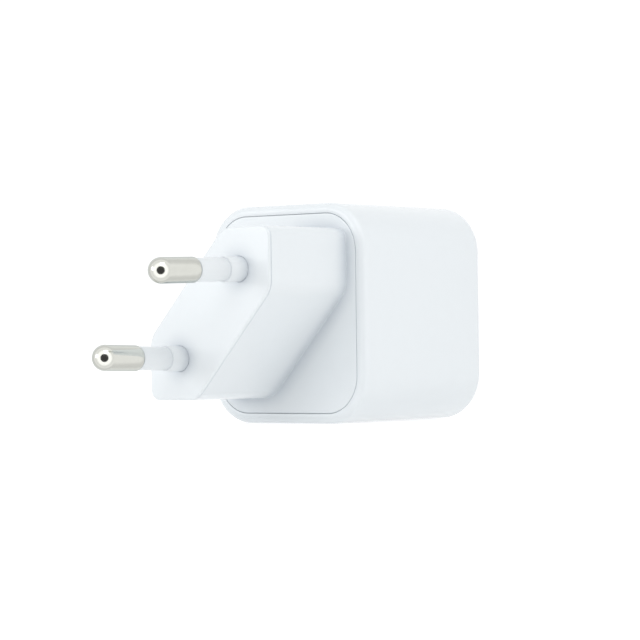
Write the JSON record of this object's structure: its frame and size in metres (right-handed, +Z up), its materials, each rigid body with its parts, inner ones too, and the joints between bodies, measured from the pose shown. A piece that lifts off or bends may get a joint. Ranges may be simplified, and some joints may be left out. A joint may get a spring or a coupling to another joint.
{
  "type": "usb wall charger",
  "caption": "Compact white wall charger: a rounded box with a fixed diagonal Europlug head, sleeved round pins and a USB-C port on its rear face.",
  "frame": {"origin": "middle of the underside of the whole charger, pins included, as it lies on a table", "axes": "+Z up, -Y the way the pins point, +Y the way the USB port faces, +X the side nearest the upper pin"},
  "size_m": [0.0322, 0.0684, 0.035],
  "materials": {
    "shell_plastic": "fine satin moulding",
    "pin_nickel": "bright nickel plating with fine turning marks",
    "sleeve_plastic": "satin moulding",
    "carrier_plastic": "matt moulding",
    "spring_brass": "rolled strip",
    "ferrite": "ground sintered ferrite",
    "copper_wire": "enamelled wire",
    "film_case": "potted case",
    "fuse_body": "matt sleeve",
    "chip_epoxy": "moulded epoxy",
    "can_sleeve": "shrunk sleeve on an aluminium can",
    "bobbin_plastic": "moulding",
    "winding_tape": "polyester tape",
    "thermal_pad": "soft filled silicone",
    "copper_sheet": "rolled sheet",
    "disc_coating": "dipped coating",
    "port_steel": "drawn steel",
    "contact_plastic": "moulding",
    "board_laminate": "solder mask over glass laminate",
    "insulation_film": "thin film",
    "lead_jacket": "soft wire jacket"
  },
  "bodies": {
    "root": {"housing": "shell_plastic", "plug_cover": "shell_plastic", "upper_pin": "pin_nickel", "lower_pin": "pin_nickel", "upper_pin_sleeve": "sleeve_plastic", "lower_pin_sleeve": "sleeve_plastic", "pin_carrier": "carrier_plastic", "pin_retainer": "carrier_plastic", "upper_contact_spring": "spring_brass", "lower_contact_spring": "spring_brass", "choke_core": "ferrite", "transformer_core_base": "ferrite", "transformer_core_top": "ferrite", "choke_winding_upper": "copper_wire", "choke_winding_lower": "copper_wire", "filter_capacitor": "film_case", "fuse": "fuse_body", "bridge_rectifier": "chip_epoxy", "switch_chip": "chip_epoxy", "optocoupler": "chip_epoxy", "rectifier_chip": "chip_epoxy", "protocol_chip": "chip_epoxy", "bulk_capacitor_front": "can_sleeve", "bulk_capacitor_rear": "can_sleeve", "output_capacitor_near": "can_sleeve", "output_capacitor_far": "can_sleeve", "transformer_bobbin": "bobbin_plastic", "transformer_winding": "winding_tape", "thermal_pad": "thermal_pad", "heat_spreader": "copper_sheet", "safety_capacitor": "disc_coating", "usb_shell": "port_steel", "usb_tongue": "contact_plastic", "input_board": "board_laminate", "main_board": "board_laminate", "port_board": "board_laminate", "insulation_sheet": "insulation_film", "secondary_lead_upper": "lead_jacket", "secondary_lead_lower": "lead_jacket"}
  },
  "joints": []
}
